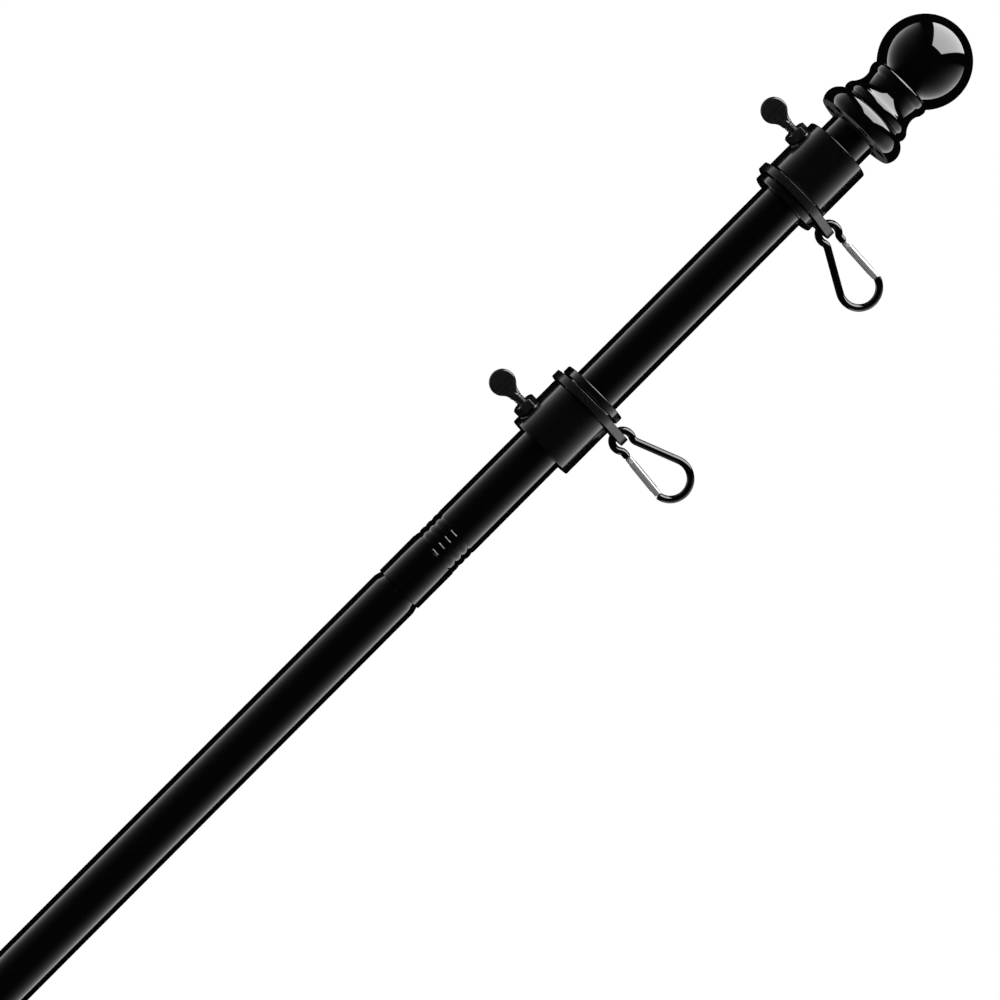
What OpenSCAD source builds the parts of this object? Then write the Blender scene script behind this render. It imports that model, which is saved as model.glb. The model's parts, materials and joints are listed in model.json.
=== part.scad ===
// A screw-together flagpole for a wall bracket, with a ball finial and two clamp-on flag holders.
// Each holder is a collar on a flanged sleeve, a swivel ring between them, a thumb screw and a carabiner.
// Millimetres. The pole stands along +Z, with the origin on the flat underside of the butt cap.
// The lugs of the swivel rings point along +X and the thumb screws along -X.

/* [Pole] */
// Outside diameter of the top tube
pole_d = 25.4; // [20:0.1:32]
// Swell of the three lower tubes' radius, and of the top tube's skirt, over the top tube's
low_swell = 0.25; // [0.1:0.05:0.5]
// Wall thickness of the tube
wall = 0.8; // [0.6:0.1:1]
// Exposed length of each of the three lower sections, joint to joint
lower_len = 381.5; // [250:0.1:500]
// Exposed length of the top section, from its joint to the finial
top_len = 310; // [260:0.1:450]
// Depth of the top tube inside the finial
finial_grip = 22; // [14:0.5:24]

/* [Screwed joint] */
// Plain length of the skirt below its thread
skirt_len = 24; // [15:0.5:35]
// Radial clearance between the neck and the skirt
joint_gap = 0.1; // [0.05:0.01:0.2]
// Length of the shoulder that runs down from the tube to its neck
shoulder_len = 3.6; // [2:0.1:6]
// Pitch of the rolled thread
thread_pitch = 4.15; // [3.5:0.05:6]
// Number of grooves in the rolled thread
thread_turns = 4; // [2:1:5]
// Depth of each rolled groove
groove_depth = 0.6; // [0.3:0.05:0.7]
// Width of each rolled groove at the surface
groove_w = 2.4; // [1.6:0.1:3]

/* [Butt cap] */
// Thickness of the cap's disc
cap_t = 2; // [1:0.1:5]
// Depth of the cap's plug inside the tube
cap_plug = 12; // [6:0.5:30]
// Wall of the cap's plug
cap_wall = 2; // [1:0.1:4]

/* [Finial] */
// Radius of the ball
ball_r = 23.1; // [21:0.1:27]
// Height of the ball's centre over the finial's underside
ball_z = 47.5; // [44:0.1:52]
// Wall of the hollow ball
ball_wall = 2.5; // [1.5:0.1:4]
// Overhang of the band under the ball past the waist
band_out = 1.75; // [1:0.05:3]
// Height of the top of the band
band_top = 31.2; // [28:0.1:33]
// Height of the lower edge of the band's upright side
band_low = 26.6; // [25:0.1:27.5]
// Wall of the finial at its waist
waist_wall = 2.65; // [2:0.05:4]
// Height of the waist
waist_z = 21.4; // [20:0.1:24]
// Overhang of the bead above the flange past the waist
bead_out = 3.8; // [3:0.1:5]
// Height of the bead
bead_z = 13.8; // [12:0.1:16]
// Radius of the bead's rounding
bead_round = 3.8; // [2.5:0.1:4.5]
// Overhang of the flange past the bead
flange_out = 3.97; // [3:0.01:6]
// Height of the flange's widest line
flange_z = 4.39; // [3:0.01:5]
// Radius of the flange's rounding
flange_round = 7.3; // [6.8:0.1:8]
// Number of moulded pockets in the underside
pocket_n = 6; // [3:1:8]
// Width of each pocket
pocket_w = 6; // [3:0.1:7]
// Depth of each pocket
pocket_deep = 7; // [2:0.1:9]
// Wall between the pockets and the hole for the tube
pocket_wall = 1.4; // [1:0.1:2]
// Width of the flange's rim outside the pockets
pocket_rim = 3.8; // [3:0.1:6]

/* [Flag holders] */
// Gap between the finial and the upper holder
upper_gap = 12; // [8:0.5:40]
// Clear length of tube between the two holders
holder_apart = 126.9; // [60:0.1:130]
// Sag of the lower carabiner from square, in degrees
lower_sag = 7; // [0:1:12]
// Wall of the collar
collar_wall = 3.15; // [2.5:0.05:6]
// Length of the collar
collar_len = 28.2; // [22:0.1:40]
// Rounding of the collar's edges
collar_round = 0.6; // [0.2:0.1:1]
// Running clearance of the sleeve on the tube
bore_gap = 0.08; // [0.03:0.01:0.1]
// Thickness of the sleeve
sleeve_t = 1.82; // [1.2:0.01:2.2]
// Clearance between the sleeve and the collar
sleeve_gap = 0.1; // [0.05:0.01:0.2]
// Width of the slot that lets the sleeve close on the tube
slot_w = 2.4; // [1:0.1:4]
// Play of the swivel ring along the groove that it turns in
groove_play = 1.3; // [0.6:0.1:3]
// Inset of the sleeve's flange from the collar's surface
end_inset = 0.1; // [0:0.05:1]
// Thickness of the sleeve's flange
end_t = 4.1; // [3:0.1:6]
// Inset of the recess in the sleeve's flange from the sleeve's surface
recess_in = 0.4; // [0.2:0.1:1]
// Depth of that recess
recess_deep = 2.2; // [1:0.1:3]

/* [Swivel ring] */
// Thickness of the swivel ring
ring_t = 4.2; // [3:0.1:5]
// Width of the swivel ring around the sleeve
ring_wall = 5.3; // [4:0.1:8]
// Radial clearance of the ring on the sleeve
ring_gap = 0.3; // [0.2:0.05:0.6]
// Gap under the ring where it rests
ring_rest = 0.3; // [0.1:0.05:0.5]
// Radius of the lug's rounded end
lug_r = 6; // [5:0.1:7]
// Distance of the lug's end past the ring's edge
lug_out = 7.3; // [6.5:0.1:12]
// Radius of the hole in the lug
lug_hole_r = 3.4; // [3:0.1:4]
// Width of the web outside the hole
lug_web = 3; // [2:0.1:3.2]

/* [Thumb screw] */
// Distance of the screw's axis from the collar's plain end
screw_at = 9.3; // [8.5:0.1:16]
// Radius of the screw's thread
screw_r = 2.5; // [2:0.1:3]
// Pitch of the screw's thread
screw_pitch = 1.06; // [0.8:0.01:1.5]
// Depth of the screw's thread
screw_depth = 0.45; // [0.2:0.05:0.6]
// Clearance of the screw in the nut
nut_gap = 0.1; // [0.05:0.01:0.2]
// Width of the nut across its flats
nut_flats = 10.7; // [9:0.1:12]
// Thickness of the nut
nut_t = 4.5; // [3:0.1:6]
// Radius of the round seat under the nut
seat_r = 7.2; // [6.8:0.1:8]
// Depth of that seat below the collar's surface
seat_deep = 0.65; // [0.3:0.05:1]
// Gap between the screw's tip and the sleeve
tip_gap = 0.3; // [0.1:0.05:0.5]
// Distance of the paddle's centre from the nut
paddle_out = 13.5; // [12.5:0.1:20]
// Radius of the round paddle
paddle_r = 6.55; // [5:0.05:8]
// Thickness of the paddle
paddle_t = 3; // [2:0.1:4]
// Radius of the fillets between the shank and the paddle
paddle_fillet = 6; // [4:0.1:7]
// Spacing of the two bars cut in each face of the paddle
bar_gap = 2.8; // [2:0.1:3.5]
// Width of each bar
bar_w = 0.8; // [0.4:0.1:1.2]
// Depth of each bar
bar_deep = 0.3; // [0.1:0.05:0.6]

/* [Carabiner] */
// Radius of the wire
wire_r = 1.9; // [1.6:0.05:2.1]
// Radius of the small hook, on the wire's centre line
hook_r = 5.03; // [4.8:0.01:5.6]
// Radius of the large end, on the wire's centre line
bow_r = 9.9; // [8:0.1:12]
// Distance of the large end's centre from the hook's, along the lug
bow_x = 29.19; // [26:0.01:36]
// Height of the large end's crown over the gate's line
bow_rise = 0.63; // [0.3:0.01:1.2]
// Height over the gate's line at which the large end's wire stops
bow_over = 0.31; // [0:0.01:0.6]
// Offset of the straight spine's line from the hook's centre
spine_line = 2.31; // [1.5:0.01:3]
// Radius of the kink between the hook and the spine
spine_kink = 3.5; // [2.5:0.1:5]
// Offset of the gate's line from the hook's centre
gate_line = 3.07; // [2.8:0.01:3.4]
// Slope of the gate's line, in degrees
gate_slope = 1.97; // [0:0.01:4]
// Radius of the kink between the hook and the gate
gate_kink = 3; // [2:0.1:4]
// Distance of the rivet along the gate's line
rivet_at = 10; // [9:0.1:12]
// Radius of the gate's bar
gate_r = 1.95; // [1.7:0.05:2.1]
// Gap between the gate and the wire at either end
gate_gap = 0.35; // [0.2:0.05:0.6]
// Thickness of the flat tongue at each end of the wire
tongue_t = 1.6; // [1:0.1:1.8]
// Clearance of the tongue in the gate's slot
tongue_gap = 0.2; // [0.1:0.05:0.4]
// Radius of the rivet
rivet_r = 0.7; // [0.5:0.05:0.9]
// Running clearance of the gate on the rivet
rivet_gap = 0.08; // [0.03:0.01:0.1]

/* [Hidden] */
$fn = 96;

BLACK = [0.03, 0.03, 0.035];
SATIN = [0.05, 0.05, 0.055];
SILVER = [0.75, 0.76, 0.78];

// Pole
pole_r = pole_d / 2;
low_r = pole_r + low_swell;
inner_r = pole_r - wall;
// Heights of the three joints, lowest first
joint_z = [for (k = [1:3]) k * lower_len];
finial_z = joint_z[2] + top_len;
tube_top = finial_z + finial_grip;
// Length of the small cones between two diameters of a tube
step_len = 0.6;

// Screwed joint
neck_r = low_r - wall - joint_gap;
core_r = inner_r - joint_gap;
roll_r = (pow(groove_w / 2, 2) + pow(groove_depth, 2)) / (2 * groove_depth);
roll_c = pole_r - groove_depth + roll_r;
thread_first = skirt_len + groove_w / 2;
thread_len = thread_pitch * (thread_turns - 1) + groove_w;
neck_lip = 1;
neck_len = skirt_len + thread_len + neck_lip;

// Finial
hub_gap = 0.05;
hub_r = pole_r + hub_gap;
stop_step = 1.4;
stop_r = pole_r - stop_step;
band_round = 0.8;
waist_r = hub_r + waist_wall;
band_r = waist_r + band_out;
bead_r = waist_r + bead_out;
bead_c = bead_r - bead_round;
flange_r = bead_r + flange_out;
flange_c = flange_r - flange_round;
// The concave stretches under and over the waist, each tangent to the upright line at the waist
low_hollow = (pow(waist_z - bead_z, 2) + pow(waist_r - bead_c, 2) - pow(bead_round, 2))
             / (2 * (bead_round + bead_c - waist_r));
touch_r = bead_c + bead_round * (waist_r + low_hollow - bead_c) / (bead_round + low_hollow);
high_hollow = (pow(band_low - waist_z, 2) + pow(band_r - waist_r, 2)) / (2 * (band_r - waist_r));

// Holder, measured from the collar's plain end
sleeve_in = pole_r + bore_gap;
sleeve_r = sleeve_in + sleeve_t;
collar_in = sleeve_r + sleeve_gap;
collar_r = collar_in + collar_wall;
end_z = collar_len + ring_t + groove_play;
end_r = collar_r - end_inset;
recess_r = sleeve_r - recess_in;
holder_len = end_z + end_t;
sleeve_lip = 0.3;
ring_in = sleeve_r + ring_gap;
ring_r = ring_in + ring_wall;
lug_reach = ring_r + lug_out;
// Heights of the plain ends of the two holders: the upper one's top and the lower one's bottom
upper_z = finial_z - upper_gap;
lower_z = upper_z - 2 * holder_len - holder_apart;
// The ring lies on the flange of the upper holder and on the collar of the lower one
upper_ring_z = end_z - ring_rest - ring_t;
lower_ring_z = collar_len + ring_rest;
lug_x = lug_reach - lug_r;
hole_x = lug_reach - lug_web - lug_hole_r;
web_x = lug_reach - lug_web / 2;

// Thumb screw, measured out from the pole's axis
seat_x = collar_r - seat_deep;
nut_x = seat_x + nut_t;
tip_x = sleeve_r + tip_gap;
paddle_x = nut_x + paddle_out;
shank_r = screw_r + 0.1;
blade_h = shank_r + 0.15;
blade_y = shank_r - 0.4;
fillet_y = blade_h + paddle_fillet;
fillet_x = paddle_x - sqrt(pow(paddle_r + paddle_fillet, 2) - pow(fillet_y, 2));
thread_n = floor((fillet_x - tip_x - 0.6) / screw_pitch);

// Carabiner, measured from the hook's centre
// Centre of the kink between the hook and a straight line that passes the hook's centre at `off`
function kink_along(off, r) = sqrt(pow(hook_r + r, 2) - pow(off + r, 2));
gate_dir = [cos(gate_slope), -sin(gate_slope)];
gate_up = [sin(gate_slope), cos(gate_slope)];
bow_c = [bow_x, (gate_line + bow_rise - bow_r - bow_x * gate_up[0]) / gate_up[1]];
// The spine touches the large end and passes the hook's centre at its own offset
spine_slope = asin((bow_r - spine_line) / norm(bow_c)) - atan2(bow_c[1], bow_c[0]);
spine_dir = [cos(spine_slope), -sin(spine_slope)];
spine_up = [sin(spine_slope), cos(spine_slope)];
spine_end = bow_c - bow_r * spine_up;
kink_c = -(spine_line + spine_kink) * spine_up + kink_along(spine_line, spine_kink) * spine_dir;
spine_start = kink_c + spine_kink * spine_up;
nose_c = (gate_line + gate_kink) * gate_up + kink_along(gate_line, gate_kink) * gate_dir;
nose_start = nose_c - gate_kink * gate_up;
hook_from = atan2(nose_c[1], nose_c[0]);
hook_to = atan2(kink_c[1], kink_c[0]) + 360;
// Where the large end's wire stops
bow_stop = asin((bow_r - bow_rise + bow_over) / bow_r) - gate_slope;
bow_tip = bow_c + bow_r * [cos(bow_stop), sin(bow_stop)];
// The gate's cheeks are rounded about the rivet, so that they turn clear of the wire's end
cheek_r = gate_r + 0.15;
gate_from = rivet_at - cheek_r;
gate_to = bow_tip * gate_dir - 2 * gate_gap;
slot_t = tongue_t + 2 * tongue_gap;
tongue_r = 1.3;
latch_len = 2.6;
// The wire is drawn down a little where it is bent into a kink and round the large end
drawn_r = wire_r - 0.02;
// Overlap of each full-size length into the drawn one next to it
lap = 0.05;

// A closed torus around Z: the circle of radius r, c from the axis, at height z
module torus(c, r, z) {
    translate([0, 0, z]) rotate_extrude() translate([c, 0]) circle(r);
}

// A ring around Z between two radii, with its two outer edges rounded
module rounded_ring(r_in, r_out, z0, z1, round) {
    rotate_extrude() {
        translate([r_in, z0 + round]) square([r_out - r_in, z1 - z0 - 2 * round]);
        translate([r_in, z0]) square([r_out - r_in - round, z1 - z0]);
        translate([r_out - round, z0 + round]) circle(round);
        translate([r_out - round, z1 - round]) circle(round);
    }
}

// The rolled grooves of a joint at height z, each a torus of radius r
module rolls(z, r) {
    for (k = [0:thread_turns - 1]) torus(roll_c, r, z + thread_first + k * thread_pitch);
}

// Outline of one tube of radius r, as [radius, height] points, `in` mm inside its outer surface.
// A skirt starts at z0, with its thread at the top tube's radius. A neck starts with its shoulder under z1
function skirt_line(z0, r, in) = [
    [low_r - in, z0],
    [low_r - in, z0 + skirt_len - step_len],
    [pole_r - in, z0 + skirt_len],
    [pole_r - in, z0 + neck_len],
    [r - in, z0 + neck_len + step_len]
];
function neck_line(z1, r, in) = [
    [r - in, z1 - shoulder_len],
    [neck_r - in, z1],
    [neck_r - in, z1 + skirt_len - step_len],
    [core_r - in, z1 + skirt_len],
    [core_r - in, z1 + neck_len]
];
function tube_line(z0, z1, skirted, necked, r, in) =
    concat(skirted ? skirt_line(z0, r, in) : [[r - in, z0]], necked ? neck_line(z1, r, in) : [[r - in, z1]]);

module tube(z0, z1, skirted, necked, r) {
    outside = tube_line(z0, z1, skirted, necked, r, 0);
    inside = tube_line(z0, z1, skirted, necked, r, wall);
    top = necked ? z1 + neck_len : z1;
    color(BLACK) difference() {
        rotate_extrude() polygon(concat([[0, z0]], outside, [[0, top]]));
        difference() {
            rotate_extrude() polygon(concat([[0, z0 - 1], [inside[0][0], z0 - 1]], inside,
                                            [[inside[len(inside) - 1][0], top + 1], [0, top + 1]]));
            if (skirted) rolls(z0, roll_r + wall);
            if (necked) rolls(z1, roll_r + 2 * wall + joint_gap);
        }
        if (skirted) rolls(z0, roll_r);
        if (necked) rolls(z1, roll_r + wall + joint_gap);
    }
}

module butt_cap() {
    edge = 0.4;
    plug_r = low_r - wall - 0.05;
    color(SATIN) difference() {
        union() {
            cylinder(h = edge, r1 = low_r - 2 * edge, r2 = low_r - edge);
            translate([0, 0, edge]) cylinder(h = cap_t - edge, r = low_r - edge);
            cylinder(h = cap_t + cap_plug, r = plug_r);
        }
        translate([0, 0, cap_t]) cylinder(h = cap_plug + 1, r = plug_r - cap_wall);
    }
}

// The turned outline of the finial's base, filled to the axis
module base_outline() {
    intersection() {
        translate([flange_c, flange_z]) circle(flange_round);
        square([flange_r + 1, band_top]);
    }
    translate([bead_c, bead_z]) circle(bead_round);
    square([flange_c, bead_z]);
    difference() {
        translate([0, bead_z]) square([touch_r, waist_z - bead_z]);
        translate([waist_r + low_hollow, waist_z]) circle(low_hollow);
    }
    difference() {
        translate([0, waist_z]) square([band_r, band_top - band_round - waist_z]);
        translate([waist_r + high_hollow, waist_z]) circle(high_hollow);
    }
    translate([0, waist_z]) square([band_r - band_round, band_top - waist_z]);
    translate([band_r - band_round, band_top - band_round]) circle(band_round);
}

// The pockets lie between the hub that grips the tube and the flange's rim
module finial_base() {
    pocket_in = hub_r + pocket_wall;
    pocket_out = flange_r - pocket_rim;
    // A low spigot centres the hollow ball on the band
    spigot_h = 2;
    spigot_r = sqrt(pow(ball_r - ball_wall, 2) - pow(ball_z - band_top, 2)) - 0.3;
    end_play = 0.3;
    color(BLACK) translate([0, 0, finial_z]) difference() {
        union() {
            rotate_extrude() base_outline();
            cylinder(h = band_top + spigot_h, r = spigot_r);
        }
        translate([0, 0, -1]) cylinder(h = finial_grip + end_play + 1, r = hub_r);
        translate([0, 0, -1]) cylinder(h = band_top + spigot_h + 2, r = stop_r);
        for (k = [0:pocket_n - 1]) rotate([0, 0, (k + 0.5) * 360 / pocket_n])
            translate([pocket_in, -pocket_w / 2, -1]) cube([pocket_out - pocket_in, pocket_w, pocket_deep + 1]);
    }
}

module finial_ball() {
    color(BLACK) translate([0, 0, finial_z]) difference() {
        translate([0, 0, ball_z]) sphere(ball_r);
        translate([0, 0, ball_z]) sphere(ball_r - ball_wall);
        cylinder(h = 2 * band_top, r = 2 * ball_r, center = true);
    }
}

module top_tube() {
    tube(joint_z[2], tube_top, true, false, pole_r);
}

module third_tube() {
    tube(joint_z[1], joint_z[2], true, true, low_r);
}

module second_tube() {
    tube(joint_z[0], joint_z[1], true, true, low_r);
}

module bottom_tube() {
    tube(cap_t, joint_z[0], false, true, low_r);
}

// Where the two holders sit: the upper one hangs with its collar up, the lower one stands with its collar down
module at_upper() {
    translate([0, 0, upper_z]) rotate([180, 0, 0]) children();
}

module at_lower() {
    translate([0, 0, lower_z]) children();
}

// A round bar along -X between two distances from the pole's axis, at the screw's height
module outward(x0, x1, r) {
    translate([-x0, 0, screw_at]) rotate([0, -90, 0]) cylinder(h = x1 - x0, r = r);
}

module collar() {
    color(SATIN) difference() {
        union() {
            rounded_ring(collar_in, collar_r, 0, collar_len, collar_round);
            difference() {
                outward(collar_in - 2, seat_x, seat_r);
                translate([0, 0, -1]) cylinder(h = collar_len + 2, r = collar_in);
            }
        }
        outward(seat_x, seat_x + 5, seat_r);
        outward(collar_in - 3, collar_r + 1, screw_r + 0.25);
    }
}

// A split tube inside the collar, whose flange carries the swivel ring
module sleeve() {
    color(SATIN) difference() {
        union() {
            translate([0, 0, sleeve_lip]) cylinder(h = end_z + 1 - sleeve_lip, r = sleeve_r);
            rounded_ring(0, end_r, end_z, holder_len, collar_round);
        }
        cylinder(h = holder_len + 1, r = sleeve_in);
        translate([0, 0, holder_len - recess_deep]) cylinder(h = recess_deep + 1, r = recess_r);
        translate([-slot_w / 2, 0, -1]) cube([slot_w, 2 * collar_r, collar_len + 1]);
    }
}

// A flat ring that runs out along straight tangents to a rounded lug with a hole
module swivel_ring(z) {
    lean = acos((ring_r - lug_r) / lug_x);
    big = ring_r * [cos(lean), sin(lean)];
    small = [lug_x, 0] + lug_r * [cos(lean), sin(lean)];
    color(SATIN) translate([0, 0, z]) difference() {
        union() {
            cylinder(h = ring_t, r = ring_r);
            translate([lug_x, 0, 0]) cylinder(h = ring_t, r = lug_r);
            linear_extrude(ring_t) polygon([[0, 0], big, small, [small[0], -small[1]], [big[0], -big[1]]]);
        }
        translate([0, 0, -1]) cylinder(h = ring_t + 2, r = ring_in);
        translate([hole_x, 0, -1]) cylinder(h = ring_t + 2, r = lug_hole_r);
    }
}

// A hexagon nut with a point up, its outer corners turned off
module nut() {
    corner_r = nut_flats / 2 / cos(30);
    color(SATIN) difference() {
        intersection() {
            translate([-seat_x, 0, screw_at]) rotate([0, -90, 0]) cylinder(h = nut_t, r = corner_r, $fn = 6);
            translate([-seat_x, 0, screw_at]) rotate([0, -90, 0])
                cylinder(h = nut_t + 0.6, r1 = corner_r + nut_t, r2 = nut_flats / 2 - 0.6);
        }
        outward(seat_x - 1, nut_x + 1, screw_r + nut_gap);
    }
}

// The thread's outline along the screw: a crest and a root for each turn
function thread_line() = [for (k = [0:thread_n - 1], e = [0, 0.5])
    [screw_r - (e == 0 ? 0 : screw_depth), tip_x + 0.6 + (k + e) * screw_pitch]];

// The paddle's outline in its own plane, X out along the screw
module paddle_outline() {
    // Where a fillet meets the round paddle
    touch = [paddle_x, 0] + paddle_r / (paddle_r + paddle_fillet) * [fillet_x - paddle_x, fillet_y];
    difference() {
        union() {
            translate([paddle_x, 0]) circle(paddle_r);
            translate([fillet_x, -fillet_y / 2]) square([paddle_x - fillet_x, fillet_y]);
        }
        for (side = [-1, 1]) translate([fillet_x, side * fillet_y]) circle(paddle_fillet);
        for (side = [-1, 1]) difference() {
            translate([fillet_x - 1, side > 0 ? 0 : -fillet_y]) square([paddle_x - fillet_x + 1, fillet_y]);
            translate([paddle_x, 0]) circle(paddle_r);
            translate([fillet_x - 1, -touch[1]]) square([touch[0] - fillet_x + 1, 2 * touch[1]]);
        }
    }
}

module thumb_screw() {
    cheek = paddle_t / 2;
    reach = paddle_x + paddle_r;
    color(SATIN) translate([0, 0, screw_at]) rotate([0, 0, 180]) difference() {
        union() {
            rotate([0, 90, 0]) rotate_extrude()
                polygon(concat([[0, tip_x], [screw_r - 0.5, tip_x]], thread_line(),
                               [[shank_r, fillet_x - 0.4], [shank_r, fillet_x + 0.5], [cheek / 2, fillet_x + 5],
                                [0, fillet_x + 5]]));
            intersection() {
                rotate([90, 0, 0]) linear_extrude(3 * blade_y, center = true) paddle_outline();
                linear_extrude(3 * paddle_r, center = true)
                    polygon([[fillet_x, -blade_y], [paddle_x - paddle_r / 2, -cheek], [reach, -cheek],
                             [reach, cheek], [paddle_x - paddle_r / 2, cheek], [fillet_x, blade_y]]);
            }
        }
        for (side = [-1, 1]) {
            translate([paddle_x, side * cheek, 0])
                cube([bar_w, 2 * bar_deep, 1.3 * paddle_r], center = true);
            translate([paddle_x - bar_gap, side * cheek, 0])
                cube([bar_w, 2 * bar_deep, paddle_r], center = true);
        }
    }
}

// Carries a carabiner drawn in the XY plane to the web of a swivel ring at height z:
// X runs outwards and Y towards the collar's plain end
module hung(z, sag) {
    translate([web_x, 0, z + ring_t / 2]) rotate([-90, 0, 0]) rotate([0, 0, sag]) children();
}

// A bent length of wire of radius w about a centre, from one angle to another
module bend(c, r, from, to, w) {
    translate([c[0], c[1], 0]) rotate([0, 0, from])
        rotate_extrude(angle = to - from) translate([r, 0]) circle(w);
}

// A straight round bar in the XY plane between two points
module bar(a, b, r) {
    d = b - a;
    translate([a[0], a[1], 0]) rotate([0, 0, atan2(d[1], d[0])])
        rotate([0, 90, 0]) cylinder(h = norm(d), r = r);
}

// Carries what is drawn along X to the gate's line, with X = 0 beside the hook's centre
module on_gate_line() {
    rotate([0, 0, -gate_slope]) translate([0, gate_line, 0]) children();
}

// The wire: spine, large end, small hook and the two flat tongues that the gate closes on
module hook() {
    nose_x = nose_start * gate_dir;
    nose_end = gate_from - gate_gap;
    latch_x = bow_tip * gate_dir;
    lap_turn = lap / hook_r * 180 / PI;
    color(BLACK) difference() {
        union() {
            bend([0, 0], hook_r, hook_from - lap_turn, hook_to + lap_turn, wire_r);
            bend(kink_c, spine_kink, 90 - spine_slope, hook_to - 180, drawn_r);
            bar(spine_start - lap * spine_dir, spine_end + lap * spine_dir, wire_r);
            bend(bow_c, bow_r, -90 - spine_slope, bow_stop, drawn_r);
            bend(nose_c, gate_kink, hook_from + 180, 270 - gate_slope, drawn_r);
            on_gate_line() {
                translate([nose_x - lap, 0, 0]) rotate([0, 90, 0])
                    cylinder(h = nose_end - nose_x + lap, r = wire_r);
                translate([nose_x, -tongue_r, -tongue_t / 2]) cube([rivet_at - nose_x, 2 * tongue_r, tongue_t]);
                translate([rivet_at, 0, -tongue_t / 2]) cylinder(h = tongue_t, r = tongue_r);
                translate([latch_x - latch_len, -0.7, -tongue_t / 2]) cube([latch_len + 0.3, 1.4, tongue_t]);
                translate([latch_x - latch_len, -1.2, -tongue_t / 2]) cube([0.8, 2.4, tongue_t]);
            }
        }
        on_gate_line() translate([rivet_at, 0, -wire_r]) cylinder(h = 2 * wire_r, r = rivet_r);
    }
}

module gate() {
    hinge_slot = cheek_r + tongue_r + 0.4;
    latch_slot = latch_len + 0.6;
    color(SILVER) on_gate_line() difference() {
        intersection() {
            translate([gate_from, 0, 0]) rotate([0, 90, 0]) cylinder(h = gate_to - gate_from, r = gate_r);
            union() {
                translate([rivet_at, 0, -gate_r - 1]) cylinder(h = 2 * gate_r + 2, r = cheek_r);
                translate([rivet_at, -gate_r - 1, -gate_r - 1])
                    cube([gate_to - rivet_at + 1, 2 * gate_r + 2, 2 * gate_r + 2]);
            }
        }
        translate([gate_from - 1, -gate_r - 1, -slot_t / 2]) cube([hinge_slot + 1, 2 * gate_r + 2, slot_t]);
        translate([gate_to - latch_slot, -gate_r - 1, -slot_t / 2])
            cube([latch_slot + 1, 2 * gate_r + 2, slot_t]);
        translate([rivet_at, 0, -gate_r - 1]) cylinder(h = 2 * gate_r + 2, r = rivet_r + rivet_gap);
    }
}

// The rivet's two heads lie just outside the gate's cheeks
module rivet() {
    head_r = rivet_r + 0.45;
    head_t = 0.35;
    color(SILVER) on_gate_line() translate([rivet_at, 0, 0]) {
        cylinder(h = 2 * (gate_r + 0.1), r = rivet_r, center = true);
        for (side = [-1, 1]) translate([0, 0, side * (gate_r + 0.1 + head_t / 2)])
            cylinder(h = head_t, r = head_r, center = true);
    }
}

finial_ball();
finial_base();
top_tube();
third_tube();
second_tube();
bottom_tube();
butt_cap();
at_upper() collar();  // upper_collar
at_upper() sleeve();  // upper_sleeve
at_upper() swivel_ring(upper_ring_z);  // upper_swivel_ring
at_upper() nut();  // upper_nut
at_upper() thumb_screw();  // upper_thumb_screw
at_upper() hung(upper_ring_z, 0) hook();  // upper_hook
at_upper() hung(upper_ring_z, 0) gate();  // upper_gate
at_upper() hung(upper_ring_z, 0) rivet();  // upper_rivet
at_lower() collar();  // lower_collar
at_lower() sleeve();  // lower_sleeve
at_lower() swivel_ring(lower_ring_z);  // lower_swivel_ring
at_lower() nut();  // lower_nut
at_lower() thumb_screw();  // lower_thumb_screw
at_lower() hung(lower_ring_z, lower_sag) hook();  // lower_hook
at_lower() hung(lower_ring_z, lower_sag) gate();  // lower_gate
at_lower() hung(lower_ring_z, lower_sag) rivet();  // lower_rivet
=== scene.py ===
"""The finish of a screw-together flagpole with a ball finial and two clamp-on flag holders.

The pole's sizes are in millimetres, and become metres where a mesh is made. The studio's own sizes are
in metres, apart from the names that end in MM. The pole stands along +Z. The lugs of the swivel rings
point along +X and the thumb screws along -X.
"""
import json
import math

import bmesh
import bpy
import numpy as np
from mathutils import Matrix, Vector


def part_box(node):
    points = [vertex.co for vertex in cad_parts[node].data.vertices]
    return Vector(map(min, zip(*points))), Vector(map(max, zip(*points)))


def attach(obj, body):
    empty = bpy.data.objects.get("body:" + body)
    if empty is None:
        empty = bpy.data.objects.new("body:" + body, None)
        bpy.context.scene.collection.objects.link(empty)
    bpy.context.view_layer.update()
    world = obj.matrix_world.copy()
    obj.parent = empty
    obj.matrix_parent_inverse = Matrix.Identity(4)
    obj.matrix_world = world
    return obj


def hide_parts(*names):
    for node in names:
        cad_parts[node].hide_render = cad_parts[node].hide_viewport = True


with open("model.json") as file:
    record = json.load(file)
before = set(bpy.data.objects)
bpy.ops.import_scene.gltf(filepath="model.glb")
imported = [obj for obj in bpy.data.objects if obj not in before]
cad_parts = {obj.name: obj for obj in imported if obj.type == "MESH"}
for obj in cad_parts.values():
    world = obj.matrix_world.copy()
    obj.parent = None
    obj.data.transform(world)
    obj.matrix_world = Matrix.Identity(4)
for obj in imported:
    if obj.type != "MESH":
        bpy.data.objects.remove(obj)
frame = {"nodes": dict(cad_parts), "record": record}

MM = 0.001
TURN = 2 * math.pi
SIDES = ("upper", "lower")
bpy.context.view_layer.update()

record = frame["record"]
BODY = {node: body for body, nodes in record["behaviour"]["bodies"].items() for node in nodes}


def low(node):
    """Lowest corner of a node, in millimetres."""
    return np.array(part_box(node)[0]) / MM


def high(node):
    """Highest corner of a node, in millimetres."""
    return np.array(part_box(node)[1]) / MM


# ---------------------------------------------------------------- sizes of the pole
WALL = 0.8
SWELL = 0.25
TUBE_R = high("top_tube")[0] - SWELL
LOW_R = TUBE_R + SWELL
TUBES = ("bottom_tube", "second_tube", "third_tube", "top_tube")
JOINT_Z = [low(node)[2] for node in TUBES]
FINIAL_Z = low("finial_base")[2]

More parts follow.
